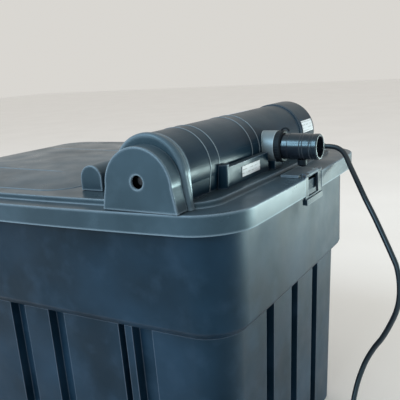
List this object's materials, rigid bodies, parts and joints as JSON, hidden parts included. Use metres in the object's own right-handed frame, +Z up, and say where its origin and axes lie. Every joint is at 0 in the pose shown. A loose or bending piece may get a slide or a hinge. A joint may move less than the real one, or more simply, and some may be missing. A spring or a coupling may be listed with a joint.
{
  "type": "pond filter box",
  "caption": "Flow-through pond filter: a ribbed tank with a latched lid, a cylindrical UV clarifier lying across the lid, hose fittings, foam media and a mains lead.",
  "frame": {"origin": "centre of the tank's flat underside", "axes": "+X along the long front face to the hose-inlet side, +Y to the back, +Z up"},
  "size_m": [0.7946, 0.5225, 0.4788],
  "materials": {
    "case_plastic": "moulded, fine satin texture",
    "tank_plastic": "moulded, fine satin texture",
    "gloss_black": "smooth moulded gloss",
    "rubber": "matte rubber",
    "label": null,
    "grate": "moulded",
    "foam_coarse": "open-cell foam",
    "foam_fine": "open-cell foam",
    "quartz": "clear",
    "ceramic": "fired, matt",
    "steel": "brushed"
  },
  "bodies": {
    "tank": {"tank": "tank_plastic", "outlet_flange": "gloss_black", "outlet_locknut": "gloss_black", "outlet_tail": "gloss_black", "drain_body": "gloss_black", "drain_locknut": "gloss_black", "bio_ball_1": "gloss_black", "bio_ball_2": "gloss_black", "bio_ball_3": "gloss_black", "bio_ball_4": "gloss_black", "lid_seal": "rubber", "outlet_gasket": "rubber", "outlet_tail_seal": "rubber", "drain_gasket": "rubber", "drain_cap_seal": "rubber", "cable_coil": "rubber", "coil_tie": "rubber", "mains_plug": "rubber", "partition_inlet": "grate", "partition_outlet": "grate", "foam_grid": "grate", "foam_retainer": "grate", "media_basket": "grate", "foam_1": "foam_coarse", "foam_3": "foam_coarse", "foam_5": "foam_coarse", "foam_2": "foam_fine", "foam_4": "foam_fine"},
    "lid": {"lid": "case_plastic", "front_shield": "case_plastic", "uv_arch": "case_plastic", "side_duct": "case_plastic", "clamp_rail": "case_plastic", "latch_anchor_right": "case_plastic", "latch_pin_right": "steel", "latch_anchor_left": "case_plastic", "latch_pin_left": "steel", "uv_housing": "case_plastic", "uv_end_cap": "case_plastic", "end_cap_seal": "rubber", "quartz_sleeve": "quartz", "uv_lamp": "ceramic", "lamp_socket": "ceramic", "ballast": "grate", "inlet_spout": "gloss_black", "end_screw": "steel", "rating_label": "label", "end_label": "label", "top_label": "label", "tail_seal": "rubber", "inlet_tail": "gloss_black", "bleed_plug": "gloss_black", "cable_gland": "gloss_black", "strain_relief": "rubber", "cable": "rubber"},
    "latch_right": {"latch_right": "case_plastic"},
    "latch_left": {"latch_left": "case_plastic"},
    "inlet_nut": {"inlet_nut": "gloss_black"},
    "outlet_nut": {"outlet_nut": "gloss_black"},
    "drain_cap": {"drain_cap": "gloss_black"}
  },
  "joints": [
    {"name": "lid_lift", "type": "slide", "parent": "tank", "child": "lid", "axis": [0, 0, 1], "range_m": [0, 0.15]},
    {"name": "latch_right_swing", "type": "hinge", "parent": "lid", "child": "latch_right", "pos_m": [0.3012, 0, 0.4026], "axis": [0, -1, 0], "range_deg": [0, 105]},
    {"name": "latch_left_swing", "type": "hinge", "parent": "lid", "child": "latch_left", "pos_m": [-0.3012, 0, 0.4026], "axis": [0, 1, 0], "range_deg": [0, 105]},
    {"name": "inlet_nut_turn", "type": "hinge", "parent": "lid", "child": "inlet_nut", "pos_m": [0.262, 0, 0.4345], "axis": [1, 0, 0], "continuous": true},
    {"name": "outlet_nut_turn", "type": "hinge", "parent": "tank", "child": "outlet_nut", "pos_m": [-0.31, 0, 0.318], "axis": [-1, 0, 0], "continuous": true},
    {"name": "drain_cap_turn", "type": "hinge", "parent": "tank", "child": "drain_cap", "pos_m": [-0.285, 0.04, 0.046], "axis": [-1, 0, 0], "continuous": true}
  ]
}
